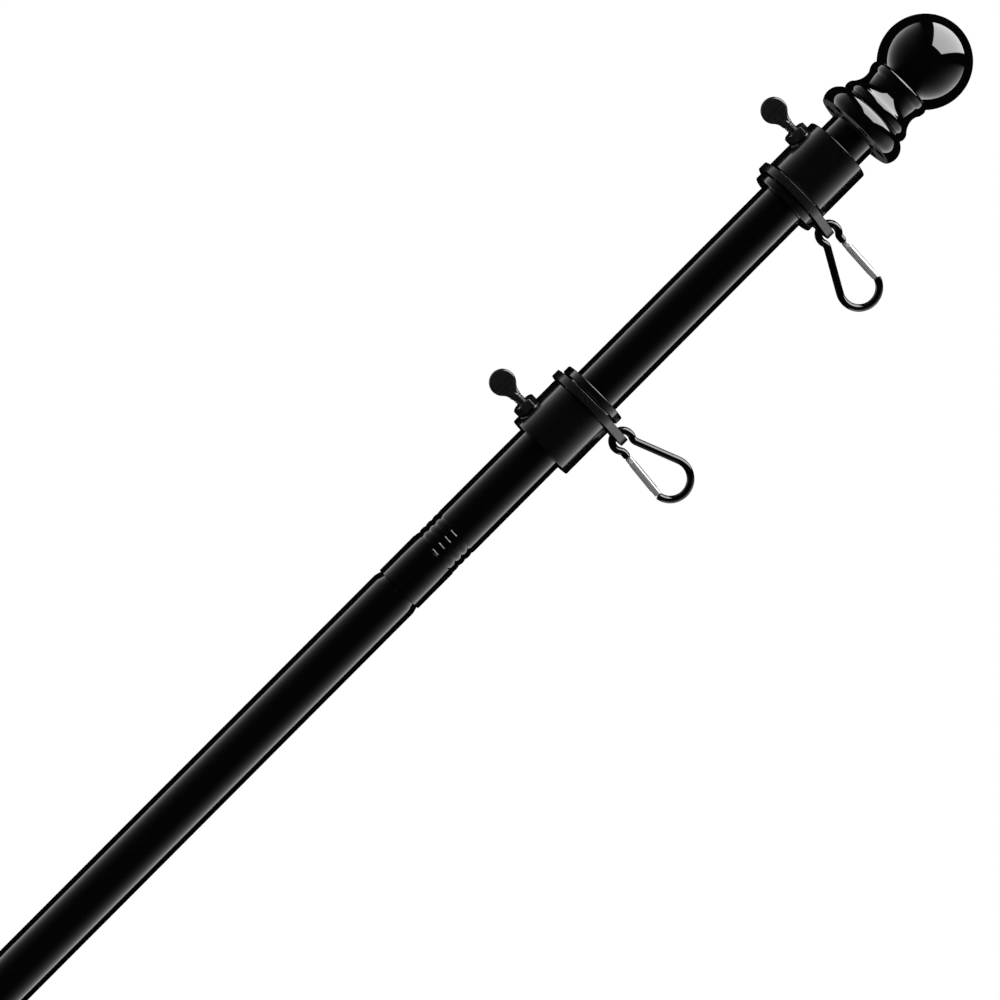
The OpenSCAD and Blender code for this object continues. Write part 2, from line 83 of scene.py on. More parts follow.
SKIRT_LEN = 24.0
STEP_LEN = 0.6
JOINT_GAP = 0.1
SHOULDER_LEN = 3.6
THREAD_PITCH = 4.15
THREAD_FIRST = 28.3
THREAD_START = -1.0
THREAD_STOP = 2.65
THREAD_FADE = 0.2
THREAD_DEEP = 0.44
THREAD_POWER = 1.2
SHOULDER_POWER = 1.25
NECK_LEN = 39.85
NECK_EASE = 2.0
TUBE_EASE = 0.12
TUBE_SIDES = 112
THREAD_ROWS = 96
PLAIN_ROWS = 12
SHOULDER_ROWS = 9


# ---------------------------------------------------------------- meshes
MERGE_WITHIN = 2e-6
BEVEL_STEPS = 3


def quads(rows, cols, wrap_rows=False, wrap_cols=True):
    """Faces between neighbouring rows and columns of a grid of points that is numbered row by row."""
    i = np.arange(rows if wrap_rows else rows - 1)[:, None]
    j = np.arange(cols if wrap_cols else cols - 1)[None, :]
    up, on = (i + 1) % rows, (j + 1) % cols
    return np.stack([i * cols + j, i * cols + on, up * cols + on, up * cols + j], -1).reshape(-1, 4)


def grid(points, wrap_rows=False, wrap_cols=True):
    """A part of a mesh: an array of rows x columns x 3 points, with the faces between them."""
    rows, cols = points.shape[:2]
    return points.reshape(-1, 3), quads(rows, cols, wrap_rows, wrap_cols)


def turned(profile, angles, axis="z", wrap=True, offset=(0, 0, 0)):
    """A lathed surface: each [radius, height] of the profile carried round the axis.

    x = r cos a, y = r sin a, z = h, with the radius a single value or one for each angle.
    wrap closes the profile on itself, as a tube's section does.
    """
    radius = np.stack([np.broadcast_to(r, angles.shape) for r, _ in profile])
    height = np.stack([np.broadcast_to(h, angles.shape) for _, h in profile])
    a, b = radius * np.cos(angles), radius * np.sin(angles)
    order = {"z": (a, b, height), "-x": (-height, a, -b), "y": (a, height, -b)}[axis]
    return grid(np.stack(order, -1) + np.array(offset, float), wrap_rows=wrap)


def round_angles(count):
    """Angles spaced evenly round a turn."""
    return np.arange(count) * TURN / count


def arc(centre, radius, start, end, count):
    """Points on an arc, with its angles in degrees: centre + radius (cos t, sin t)."""
    t = np.radians(np.linspace(start, end, count))
    return [(centre[0] + radius * c, centre[1] + radius * s) for c, s in zip(np.cos(t), np.sin(t))]


def make(name, parts, finish, crease=32, bevel=None):
    """One mesh object from several parts, with its doubles merged and its faces turned outwards.

    Edges sharper than `crease` degrees stay sharp, or are rounded over `bevel` millimetres.
    """
    starts = np.cumsum([0] + [len(points) for points, _ in parts])
    points = np.concatenate([points for points, _ in parts]) * MM
    faces = np.concatenate([face + start for (_, face), start in zip(parts, starts)])
    mesh = bpy.data.meshes.new(name)
    mesh.from_pydata(points.tolist(), [], faces.tolist())
    work = bmesh.new()
    work.from_mesh(mesh)
    bmesh.ops.remove_doubles(work, verts=work.verts, dist=MERGE_WITHIN)
    bmesh.ops.recalc_face_normals(work, faces=work.faces)
    work.to_mesh(mesh)
    work.free()
    mesh.shade_smooth()
    mesh.set_sharp_from_angle(angle=math.radians(crease))
    mesh.materials.append(finish)
    piece = bpy.data.objects.new(name, mesh)
    bpy.context.scene.collection.objects.link(piece)
    if bevel:
        edge = piece.modifiers.new("eased_edges", "BEVEL")
        edge.width = bevel * MM
        edge.segments = BEVEL_STEPS
        edge.limit_method = "ANGLE"
        edge.angle_limit = math.radians(crease)
        edge.harden_normals = True
    return piece


def stands_for(piece, node):
    """The piece takes the place of a node: it rides on the node's body, and the node is hidden."""
    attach(piece, BODY[node])
    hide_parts(node)
    return piece


# ---------------------------------------------------------------- materials
WIDE_CELLS = 12
ROUGH_VARIES = 0.25


def finish(name, colour, rough, metal=0.0, coat=0.0, coat_rough=0.03, specular=0.5,
           grain=900.0, relief=0.004, tint=0.15, stretch=(1, 1, 1)):
    """A coated, moulded or bare metal surface.

    Two noises on Object coordinates vary its colour by `tint` and its roughness by a quarter, and raise
    a fine relief, `relief` millimetres deep with `grain` cells a metre. The other noise's cells are 12
    times as wide, and `stretch` scales both along each axis.
    """
    mat = bpy.data.materials.new(name)
    mat.use_nodes = True
    nodes, links = mat.node_tree.nodes, mat.node_tree.links
    shader = nodes["Principled BSDF"]
    where = nodes.new("ShaderNodeTexCoord")
    turn = nodes.new("ShaderNodeMapping")
    turn.inputs["Scale"].default_value = stretch
    links.new(where.outputs["Object"], turn.inputs["Vector"])
    fine = nodes.new("ShaderNodeTexNoise")
    fine.inputs["Scale"].default_value = grain
    fine.inputs["Detail"].default_value = 3.0
    wide = nodes.new("ShaderNodeTexNoise")
    wide.inputs["Scale"].default_value = grain / WIDE_CELLS
    wide.inputs["Detail"].default_value = 2.0
    for noise in (fine, wide):
        links.new(turn.outputs["Vector"], noise.inputs["Vector"])
    shade = nodes.new("ShaderNodeMix")
    shade.data_type = "RGBA"
    shade.inputs["A"].default_value = (*[c * (1 - tint) for c in colour], 1)
    shade.inputs["B"].default_value = (*[min(1.0, c * (1 + tint)) for c in colour], 1)
    links.new(wide.outputs["Fac"], shade.inputs["Factor"])
    links.new(shade.outputs["Result"], shader.inputs["Base Color"])
    matt = nodes.new("ShaderNodeMapRange")
    matt.inputs["To Min"].default_value = rough * (1 - ROUGH_VARIES)
    matt.inputs["To Max"].default_value = rough * (1 + ROUGH_VARIES)
    links.new(wide.outputs["Fac"], matt.inputs["Value"])
    links.new(matt.outputs["Result"], shader.inputs["Roughness"])
    bump = nodes.new("ShaderNodeBump")
    bump.inputs["Strength"].default_value = 1.0
    bump.inputs["Distance"].default_value = relief * MM
    links.new(fine.outputs["Fac"], bump.inputs["Height"])
    links.new(bump.outputs["Normal"], shader.inputs["Normal"])
    shader.inputs["Metallic"].default_value = metal
    shader.inputs["Specular IOR Level"].default_value = specular
    shader.inputs["Coat Weight"].default_value = coat
    shader.inputs["Coat Roughness"].default_value = coat_rough
    return mat


tube_coat = finish("gloss_black_tube_coat", (0.0012, 0.0012, 0.0013), 0.10, coat=1.0, coat_rough=0.05,
                   grain=700, relief=0.0006)
finial_gloss = finish("polished_black_finial", (0.0012, 0.0012, 0.0013), 0.05, coat=1.0, coat_rough=0.02,
                      grain=500, relief=0.0004)
# the underside's grey colour (0.13) is a painted reflection of the pale floor under the black finial; only
# its higher roughness is the moulded finish
finial_underside_painted_reflection = finish("moulded_underside_painted_floor_reflection", (0.13, 0.13, 0.132), 0.38, grain=1500, relief=0.004)
clamp_satin = finish("satin_black_moulding", (0.002, 0.002, 0.0022), 0.17, coat=0.9, coat_rough=0.12,
                     grain=1800, relief=0.0016)
ring_satin = finish("satin_black_ring", (0.004, 0.004, 0.0042), 0.25, coat=0.3, coat_rough=0.14,
                    grain=1800, relief=0.0016)
cap_plastic = finish("grained_black_cap", (0.008, 0.008, 0.0085), 0.42, grain=1600, relief=0.012)
screw_coat = finish("black_screw_coat", (0.008, 0.008, 0.0085), 0.2, coat=1.0, coat_rough=0.06,
                    grain=1500, relief=0.0015)
wire_coat = finish("gloss_black_wire_coat", (0.0012, 0.0012, 0.0013), 0.09, coat=1.0, coat_rough=0.04,
                   grain=900, relief=0.0008)
gate_silver = finish("bright_silver_gate", (0.55, 0.56, 0.575), 0.12, metal=0.68, tint=0.04,
                     grain=2500, relief=0.0005, stretch=(0.12, 1, 1))
rivet_steel = finish("plain_steel_rivet", (0.6, 0.6, 0.62), 0.26, metal=0.5, tint=0.06,
                     grain=2500, relief=0.003)


# ---------------------------------------------------------------- tubes
def rolled_depth(height, angle):
    """Depth of the rolled groove at a height over the joint and an angle round the tube.

    The groove's middle falls by one pitch a turn. Its section is (1 - |sin|) ** 1.2 over a pitch, a
    narrow groove between full round crests, and it fades in and out over a fifth of a turn at its ends.
    """
    place = (height - THREAD_FIRST) / THREAD_PITCH + angle / TURN
    winding = np.round(place)
    along = winding - angle / TURN
    across = (place - winding) * THREAD_PITCH
    section = (1 - abs(np.sin(math.pi * across / THREAD_PITCH))) ** THREAD_POWER
    starts = np.clip((along - THREAD_START) / THREAD_FADE, 0, 1)
    stops = np.clip((THREAD_STOP - along) / THREAD_FADE, 0, 1)
    return THREAD_DEEP * section * (starts * stops)


def rolled_tube(z0, z1, skirted, necked, body_r):
    """A tube whose outer profile is carried round the axis, with a helical groove rolled past its skirt.

    Up the shoulder at its upper end t runs from 0 to 1, and the radius falls from the body's to the
    neck's as t ** 1.25.
    """
    angles = round_angles(TUBE_SIDES)
    outer = []
    if skirted:
        outer += [(LOW_R - TUBE_EASE, z0), (LOW_R, z0 + TUBE_EASE)]
        outer += [(LOW_R, z0 + SKIRT_LEN / 2), (LOW_R, z0 + SKIRT_LEN - STEP_LEN)]
        for height in np.linspace(SKIRT_LEN, NECK_LEN, THREAD_ROWS):
            outer.append((TUBE_R - rolled_depth(height, angles), z0 + height))
        outer.append((body_r, z0 + NECK_LEN + STEP_LEN))
        start = z0 + NECK_LEN + NECK_EASE
    else:
        outer.append((body_r, z0))
        start = z0 + NECK_EASE
    if necked:
        neck = LOW_R - WALL - JOINT_GAP
        core = TUBE_R - WALL - JOINT_GAP - THREAD_DEEP
        shoulder = z1 - SHOULDER_LEN
        outer += [(body_r, z) for z in np.linspace(start, shoulder - 1, PLAIN_ROWS)]
        outer += [(body_r - (body_r - neck) * t ** SHOULDER_POWER, z1 - SHOULDER_LEN * (1 - t))
                  for t in np.linspace(0, 1, SHOULDER_ROWS)]
        outer += [(neck, z1 + SKIRT_LEN - NECK_EASE), (core, z1 + SKIRT_LEN), (core, z1 + NECK_LEN)]
        inner = [(core - WALL, z1 + NECK_LEN), (neck - THREAD_DEEP - WALL, z1 + 2 * NECK_EASE)]
    else:
        outer += [(body_r, z) for z in np.linspace(start, z1, PLAIN_ROWS)]
        inner = [(body_r - WALL, z1)]
    bore = (LOW_R if skirted else body_r) - WALL
    if skirted:
        inner += [(TUBE_R - WALL, z0 + NECK_LEN), (TUBE_R - WALL, z0 + SKIRT_LEN)]
        inner += [(bore, z0 + SKIRT_LEN - STEP_LEN), (bore, z0)]
    else:
        inner += [(bore, z1 - SHOULDER_LEN), (bore, z0)]
    return [turned(outer + inner, angles)]


for node, z0, z1 in zip(TUBES, JOINT_Z, JOINT_Z[1:] + [high("top_tube")[2]]):
    is_top = node == "top_tube"
    shape = rolled_tube(z0, z1, node != "bottom_tube", not is_top, TUBE_R if is_top else LOW_R)
    stands_for(make(f"rolled_{node}", shape, tube_coat), node)


# ---------------------------------------------------------------- butt cap
CAP_DISC = 2.0
CAP_ROUND = 0.5
CAP_FLAT = 0.8
PLUG_PLAY = 0.05
PLUG_EASE = 0.6
PLUG_WALL = 2.0


def butt_cap():
    """The cap's disc with an eased edge, and its hollow plug, as one closed profile."""
    top = high("butt_cap")[2]
    rim = high("butt_cap")[0]
    plug = LOW_R - WALL - PLUG_PLAY
    profile = [(0, 0), (rim - CAP_FLAT, 0)] + arc((rim - CAP_ROUND, CAP_ROUND), CAP_ROUND, -90, 0, 6)
    profile += [(rim, CAP_DISC), (plug, CAP_DISC), (plug, top - PLUG_EASE), (plug - PLUG_EASE, top)]
    profile += [(plug - PLUG_WALL, top), (plug - PLUG_WALL, CAP_DISC), (0, CAP_DISC)]
    return [turned(profile, round_angles(96), wrap=False)]


stands_for(make("moulded_butt_cap", butt_cap(), cap_plastic), "butt_cap")

# ---------------------------------------------------------------- finial
BALL_R = 23.1
BALL_Z = 47.5
BALL_WALL = 2.5
BAND_TOP = 31.2
BAND_LOW = 29.2
BAND_FOOT = 5.0
BAND_ROUND = 1.4
HUB_R = TUBE_R + 0.05
WAIST_R = HUB_R + 2.65
WAIST_Z = 23.3
BAND_R = WAIST_R + 1.75
BEAD_C = WAIST_R
BEAD_Z = 13.8
BEAD_ROUND = 3.8
FLANGE_ROUND = 7.3
FLANGE_C = min(high("finial_base")[:2]) - FLANGE_ROUND
FLANGE_Z = 4.39
POCKETS = 6
POCKET_W = 6.0
POCKET_DEEP = 7.0
POCKET_IN = HUB_R + 1.4
POCKET_OUT = FLANGE_C + FLANGE_ROUND - 3.8
GRIP = 22.3
STOP_R = TUBE_R - 1.4
SPIGOT_LEN = 2.0
SPIGOT_PLAY = 0.3
BALL_SIDES = 128
UNDER_WITHIN = 0.01
FACING_DOWN = -0.9


def finial_profile():
    """The turned outline from the flange's underside to the top of the band.

    The flange and the bead are arcs that bulge out, and the hollows over and under the waist are arcs
    that bulge in. The low hollow touches the bead, the high one the band, and both are upright at the
    waist. The flange's arc ends where it meets the bead's.
    """
    reach = math.sqrt(FLANGE_ROUND ** 2 - FLANGE_Z ** 2)
    first = math.degrees(math.atan2(-FLANGE_Z, reach))
    low_hollow = ((WAIST_Z - BEAD_Z) ** 2 + (WAIST_R - BEAD_C) ** 2 - BEAD_ROUND ** 2) / (
        2 * (BEAD_ROUND + BEAD_C - WAIST_R))
    gap = np.array([BEAD_C - FLANGE_C, BEAD_Z - FLANGE_Z])
    span = np.linalg.norm(gap)
    share = (span ** 2 + FLANGE_ROUND ** 2 - BEAD_ROUND ** 2) / (2 * span)
    side = math.sqrt(max(0.0, FLANGE_ROUND ** 2 - share ** 2))
    along = gap / span
    meet = np.array([FLANGE_C, FLANGE_Z]) + share * along + side * np.array([along[1], -along[0]])
    flange_end = math.degrees(math.atan2(meet[1] - FLANGE_Z, meet[0] - FLANGE_C))
    bead_start = math.degrees(math.atan2(meet[1] - BEAD_Z, meet[0] - BEAD_C))
    touch = math.degrees(math.atan2(WAIST_Z - BEAD_Z, WAIST_R + low_hollow - BEAD_C))
    reach_up = ((BAND_LOW - WAIST_Z) ** 2 + (BAND_R - WAIST_R) ** 2) / (2 * (BAND_R - WAIST_R))
    high_hollow = reach_up - BAND_FOOT
    band_turn = math.degrees(math.asin((BAND_LOW - WAIST_Z) / reach_up))
    profile = arc((FLANGE_C, FLANGE_Z), FLANGE_ROUND, first, flange_end, 34)
    profile += arc((BEAD_C, BEAD_Z), BEAD_ROUND, bead_start, touch, 26)
    profile += arc((WAIST_R + low_hollow, WAIST_Z), low_hollow, 180 + touch, 180, 18)[1:]
    profile += arc((WAIST_R + high_hollow, WAIST_Z), high_hollow, 180, 180 - band_turn, 14)[1:]
    profile += arc((BAND_R - BAND_FOOT, BAND_LOW), BAND_FOOT, -band_turn, 0, 12)[1:]
    profile += arc((BAND_R - BAND_ROUND, BAND_TOP - BAND_ROUND), BAND_ROUND, 0, 90, 10)
    return profile


def finial_base():
    """The turned base over its underside, whose pockets are sunk between straight walls.

    The underside is rows from the hub out to the flange. Each pocket's columns follow the angle
    asin(half width / radius), so that its sides are straight, and lie higher than the columns beside it.
    """
    outside = finial_profile()
    edge_r = outside[0][0]
    spigot = math.sqrt((BALL_R - BALL_WALL) ** 2 - (BALL_Z - BAND_TOP) ** 2) - SPIGOT_PLAY
    # a sector's columns: a rib, a pocket between repeated columns, and a rib
    rib = np.linspace(0, 1, 5)[1:]
    pocket = np.linspace(-1, 1, 9)

    def row(radius, height, sunk):
        """One row of the underside. Columns in a pocket lie POCKET_DEEP higher where it is sunk."""
        half = np.arcsin(POCKET_W / 2 / np.clip(radius, POCKET_IN, POCKET_OUT))
        sector = TURN / POCKETS
        left = -sector / 2 + (sector / 2 - half) * rib
        right = half + (sector / 2 - half) * rib[:-1]
        angles = np.concatenate([left, half * pocket, [half], right])
        lift = np.concatenate([0 * left, 0 * pocket + POCKET_DEEP, [0], 0 * right])
        angles = (angles + sector * (np.arange(POCKETS)[:, None] + 0.5)).ravel()
        lift = np.tile(lift, POCKETS) * sunk
        return np.stack([radius * np.cos(angles), radius * np.sin(angles), height + lift], -1)

    under = [row(HUB_R, 0, 0), row(POCKET_IN, 0, 0), row(POCKET_IN, 0, 1),
             row((POCKET_IN + POCKET_OUT) / 2, 0, 1), row(POCKET_OUT, 0, 1), row(POCKET_OUT, 0, 0),
             row(edge_r, 0, 0)]
    rise = [row(r, h, 0) for r, h in outside]
    back = [(spigot, BAND_TOP), (spigot, BAND_TOP + SPIGOT_LEN), (STOP_R, BAND_TOP + SPIGOT_LEN),
            (STOP_R, GRIP), (HUB_R, GRIP), (HUB_R, 0)]
    down = [row(r, h, 0) for r, h in back]
    stack = np.stack(under + rise + down)
    stack[..., 2] += FINIAL_Z
    return [grid(stack)]


def paint_underside_floor_reflection(piece):
    """Gives the faces that lie at the base's foot and look down a rougher moulded finish, and a grey colour
    that is a painted reflection of the pale floor below.
    """
    piece.data.materials.append(finial_underside_painted_reflection)
    faces = piece.data.polygons
    middles, normals = np.zeros((len(faces), 3)), np.zeros((len(faces), 3))
    faces.foreach_get("center", middles.ravel())
    faces.foreach_get("normal", normals.ravel())
    under = (middles[:, 2] < (FINIAL_Z + UNDER_WITHIN) * MM) & (normals[:, 2] < FACING_DOWN)
    faces.foreach_set("material_index", under.astype(np.int32))


base = make("turned_finial_base", finial_base(), finial_gloss, crease=38)
# painted reflection: the base's downward faces get the grey underside colour that stands in for the floor's
# light
paint_underside_floor_reflection(base)
stands_for(base, "finial_base")


def finial_ball():
    """A hollow ball with its foot cut off where it sits on the band, its two skins joined at the foot."""
    foot = BALL_Z - BAND_TOP
    outer_end = math.degrees(math.asin(-foot / BALL_R))
    inner_r = BALL_R - BALL_WALL
    inner_end = math.degrees(math.asin(-foot / inner_r))
    outside = arc((0, FINIAL_Z + BALL_Z), BALL_R, outer_end, 90, 90)
    inside = arc((0, FINIAL_Z + BALL_Z), inner_r, 90, inner_end, 30)
    outside[-1], inside[0] = (0, outside[-1][1]), (0, inside[0][1])
    foot_ring = [inside[-1], outside[0]]
    return [turned(part, round_angles(BALL_SIDES), wrap=False) for part in (outside, inside, foot_ring)]


ball = make("polished_finial_ball", finial_ball(), finial_gloss)
ball.visible_glossy = False
stands_for(ball, "finial_ball")

# ---------------------------------------------------------------- collars and sleeves
for side in SIDES:
    for part in ("collar", "sleeve"):
        node = frame["nodes"][f"{side}_{part}"]
        node.data.materials.clear()
        node.data.materials.append(clamp_satin)

# ---------------------------------------------------------------- swivel rings
SLEEVE_R = 14.6
RING_PLAY = 0.3
RING_IN = SLEEVE_R + RING_PLAY
RING_R = RING_IN + 5.3
RING_SPLIT = 0.53
LUG_R = 6.0
LUG_END = RING_R + 7.3
LUG_X = LUG_END - LUG_R
HOLE_R = 3.4
WEB = 3.0
HOLE_X = LUG_END - WEB - HOLE_R
WEB_X = LUG_END - WEB / 2
HOLE_COLS = 33
RING_COLS = 150


def ring_outline(angle):
    """Radius of the ring's outline at an angle: ring, tangents to the lug, and the lug's round end."""
    lean = math.acos((RING_R - LUG_R) / LUG_X)
    tip = math.atan2(LUG_R * math.sin(lean), LUG_X + LUG_R * math.cos(lean))
    a = abs(angle)
    inside = np.clip(LUG_R ** 2 - (LUG_X * np.sin(a)) ** 2, 0, None)
    lug = LUG_X * np.cos(a) + np.sqrt(inside)
    line = RING_R / np.cos(np.clip(a, 0, lean) - lean)
    return np.where(a <= tip, lug, np.where(a < lean, line, RING_R))


def swivel_ring(z0, z1):
    """A flat ring with a holed lug. Rows run out from the bore, and part round the hole in the lug.

    With the hole's centre at X and its radius R, columns over it follow X sin a = R sin t, so that the
    hole's edge is X cos a -+ R cos t. Elsewhere the middle row lies a share RING_SPLIT of the way out.
    """
    t = np.radians(np.linspace(-90, 90, HOLE_COLS))
    over = np.arcsin(HOLE_R * np.sin(t) / HOLE_X)
    rest = np.linspace(over[-1], TURN - over[-1], RING_COLS)[1:-1]
    angle = np.concatenate([over, rest])
    outline = ring_outline(np.where(angle > math.pi, TURN - angle, angle))
    middle = RING_IN + (outline - RING_IN) * RING_SPLIT
    near, far = middle.copy(), middle.copy()
    near[:HOLE_COLS] = HOLE_X * np.cos(over) - HOLE_R * np.cos(t)
    far[:HOLE_COLS] = HOLE_X * np.cos(over) + HOLE_R * np.cos(t)

    def ring_row(radius, z):
        return np.stack([radius * np.cos(angle), radius * np.sin(angle), 0 * angle + z], -1)

    bore = np.full(angle.shape, RING_IN)
    parts = []
    for inner, outer in ((bore, near), (far, outline)):
        parts.append(grid(np.stack([ring_row(inner, z1), ring_row(outer, z1)])))
        parts.append(grid(np.stack([ring_row(outer, z0), ring_row(inner, z0)])))
    for radius in (bore, outline):
        parts.append(grid(np.stack([ring_row(radius, z0), ring_row(radius, z1)])))
    for radius in (near, far):
        wall = np.stack([ring_row(radius, z)[:HOLE_COLS] for z in (z0, z1)])
        parts.append(grid(wall, wrap_cols=False))
    return parts


for side in SIDES:
    node = f"{side}_swivel_ring"
    ring = swivel_ring(low(node)[2], high(node)[2])
    stands_for(make(f"{side}_eased_swivel_ring", ring, ring_satin, crease=45, bevel=0.45), node)

# ---------------------------------------------------------------- nuts and thumb screws
NUT_FLATS = 10.7
NUT_T = 4.5
NUT_EASE = 0.12
NUT_CORNER = 0.09
NUT_CONE = 1.6
NUT_BEVEL = 0.45
NUT_STEPS = (0, NUT_EASE, 1.5, 3.0, 3.6, 3.8, 4.0, 4.2, 4.35, NUT_T)
SEAT_X = 17.2
SCREW_R = 2.5
SCREW_PLAY = 0.1
SCREW_PITCH = 1.06
SCREW_STEPS = 8
SCREW_DEEP = 0.45
SCREW_POWER = 1.4
TIP_X = SLEEVE_R + 0.3
TIP_LEN = 0.6
TIP_THIN = 0.25
TIP_DEPTH = 0.3
SHANK_FROM = 0.5
SHANK_TO = 0.6
RUN_OUT = 0.8
SCREW_PLAIN_FROM = 0.4
SCREW_PLAIN_TO = 0.3
ROOT_LEN = 5.0
PADDLE_R = 6.55
PADDLE_T = 3.0
PADDLE_X = SEAT_X + NUT_T + 13.5
FILLET_R = 6.0
BLADE_H = 2.75
BLADE_Y = 2.2
FILLET_X = PADDLE_X - math.sqrt((PADDLE_R + FILLET_R) ** 2 - (BLADE_H + FILLET_R) ** 2)
RIM = 1.3
RIM_FLAT = 0.3
BAR_GAP = 2.8
BAR_W = 0.8
BAR_DEEP = 0.3
MIDDLE_BAR = 0.65
END_BAR = 0.5
BAR_FIT = 0.85
CLOSEST = 0.03


def nut(z):
    """A hexagon nut: the lesser of the hexagon's radius and of the cone that turns its corners.

    The angle starts at one of the hexagon's points, and the points lie up and down.
    """
    angles = round_angles(144)
    flat = NUT_FLATS / 2
    face = np.mod(angles, TURN / 6) - TURN / 12
    hexagon = np.minimum(flat / np.cos(face), flat / math.cos(TURN / 12) - NUT_CORNER)
    bore = SCREW_R + SCREW_PLAY
    profile = [(bore, SEAT_X)]
    for x in NUT_STEPS:
        cone = flat - NUT_EASE + (NUT_T - x) * NUT_CONE
        foot = hexagon - (NUT_EASE if x == 0 else 0)
        profile.append((np.minimum(foot, cone), SEAT_X + x))
    profile += [(bore + NUT_BEVEL, SEAT_X + NUT_T), (bore, SEAT_X + NUT_T - NUT_BEVEL)]
    return [turned(profile, angles + TURN / 4, axis="-x", offset=(0, 0, z))]


def screw_shank(z):
    """The screw's shank along -X: its crest radius less a helical groove with one wave a pitch.

    The groove's depth goes as (0.5 - 0.5 cos) ** 1.4. It fades at both ends, and the tip narrows. A plain
    shoulder and a root hidden in the paddle's neck end it.
    """
    angles = round_angles(40)
    first, last = TIP_X + SHANK_FROM, FILLET_X - SHANK_TO
    profile = [(0, TIP_X), (SCREW_R - TIP_LEN, TIP_X)]
    for x in np.arange(first, last, SCREW_PITCH / SCREW_STEPS):
        wave = 0.5 - 0.5 * np.cos(TURN * x / SCREW_PITCH - angles)
        fade = min(1.0, (x - first) / TIP_LEN + TIP_DEPTH) * min(1.0, (last - x) / RUN_OUT)
        tip = TIP_THIN * max(0, 1 - (x - first) / TIP_LEN)
        profile.append((SCREW_R - SCREW_DEEP * wave ** SCREW_POWER * fade - tip, x))
    plain = SCREW_R + SCREW_PLAY
    profile += [(plain, FILLET_X - SCREW_PLAIN_FROM), (plain, FILLET_X + SCREW_PLAIN_TO)]
    profile += [(PADDLE_T / 4, FILLET_X + ROOT_LEN), (0, FILLET_X + ROOT_LEN)]
    return turned(profile, angles, axis="-x", wrap=False, offset=(0, 0, z))


def paddle(z):
    """The flat round paddle and its neck, as sections carried along the screw.

    Half height: BLADE_H at the neck, then a fillet arc, then the round paddle. The face's outline lies RIM
    inside the paddle's, and the rim between them is a quarter of an ellipse. Two bars are sunk in each
    face, between columns and rows that are repeated at their edges.
    """
    touch = PADDLE_R / (PADDLE_R + FILLET_R)
    touch_x = PADDLE_X + touch * (FILLET_X - PADDLE_X)
    neck = np.linspace(FILLET_X, touch_x, 9)
    neck_h = BLADE_H + FILLET_R - np.sqrt(FILLET_R ** 2 - (neck - FILLET_X) ** 2)
    start = math.asin((touch_x - PADDLE_X) / PADDLE_R)
    bars = sorted(x + s * BAR_W / 2 for x in (-BAR_GAP, 0) for s in (-1, 1))
    face_r = PADDLE_R - RIM
    marks = [math.asin(x / face_r) for x in bars]
    even = [t for t in np.linspace(start, math.pi / 2, 30)[1:] if min(abs(t - m) for m in marks) > CLOSEST]
    turn = np.array(sorted(even + marks + marks))
    face_x = np.concatenate([neck, PADDLE_X + face_r * np.sin(turn)])
    face_h = np.concatenate([neck_h - RIM, face_r * np.cos(turn)])
    rim_x = np.concatenate([neck, PADDLE_X + PADDLE_R * np.sin(turn)])
    rim_h = np.concatenate([neck_h, PADDLE_R * np.cos(turn)])
    ease = np.clip((rim_x - FILLET_X) / (PADDLE_X - PADDLE_R / 2 - FILLET_X), 0, 1)
    thick = BLADE_Y + (PADDLE_T / 2 - BLADE_Y) * ease
    # a bar reaches from the second of the equal columns at its near edge to the first at its far edge
    order = np.arange(len(turn))
    inside = np.zeros(len(turn), bool)
    for near, far in zip(marks[0::2], marks[1::2]):
        first = order[np.isclose(turn, near)][1]
        last = order[np.isclose(turn, far)][0]
        inside[first:last + 1] = True
    inside = np.concatenate([np.zeros(len(neck), bool), inside])
    bar_half = np.where(abs(face_x - PADDLE_X) < BAR_GAP / 2, MIDDLE_BAR, END_BAR) * PADDLE_R
    bar_half = np.minimum(bar_half, face_h * BAR_FIT)

    def face_rows(sign):
        """Rows across one face, from its lower edge to its upper one, with the bars' ends repeated."""
        rows = []
        for height, sunk in ((-face_h, 0), (-bar_half, 0), (-bar_half, 1), (0 * face_h, 1), (bar_half, 1),
                             (bar_half, 0), (face_h, 0)):
            y = sign * (thick - BAR_DEEP * sunk * inside)
            rows.append(np.stack([-face_x, y, height], -1))
        return rows if sign > 0 else rows[::-1]

    def rim_rows(sign, edge):
        """Rows of the rounded rim, from the face outwards."""
        rows = []
        for share in (0.6, 0.35, 0.18, 0.07, 0.0):
            rise = RIM_FLAT + (1 - RIM_FLAT) * math.sqrt(1 - (1 - share) ** 2)
            x, height = rim_x + (face_x - rim_x) * share, rim_h + (face_h - rim_h) * share
            rows.append(np.stack([-x, sign * thick * rise, edge * height], -1))
        return rows

    loop = face_rows(1) + rim_rows(1, 1) + rim_rows(-1, 1)[::-1] + face_rows(-1)
    loop = np.stack(loop + rim_rows(-1, -1) + rim_rows(1, -1)[::-1], 1)
    middle = np.broadcast_to(loop[0].mean(0), loop[:1].shape)
    return grid(np.concatenate([middle, loop]) + np.array([0, 0, z]))


for side in SIDES:
    z = (low(f"{side}_thumb_screw")[2] + high(f"{side}_thumb_screw")[2]) / 2
    stands_for(make(f"{side}_hexagon_nut", nut(z), screw_coat, crease=28), f"{side}_nut")
    screw = [screw_shank(z), paddle(z)]
    stands_for(make(f"{side}_paddle_screw", screw, screw_coat, crease=30), f"{side}_thumb_screw")

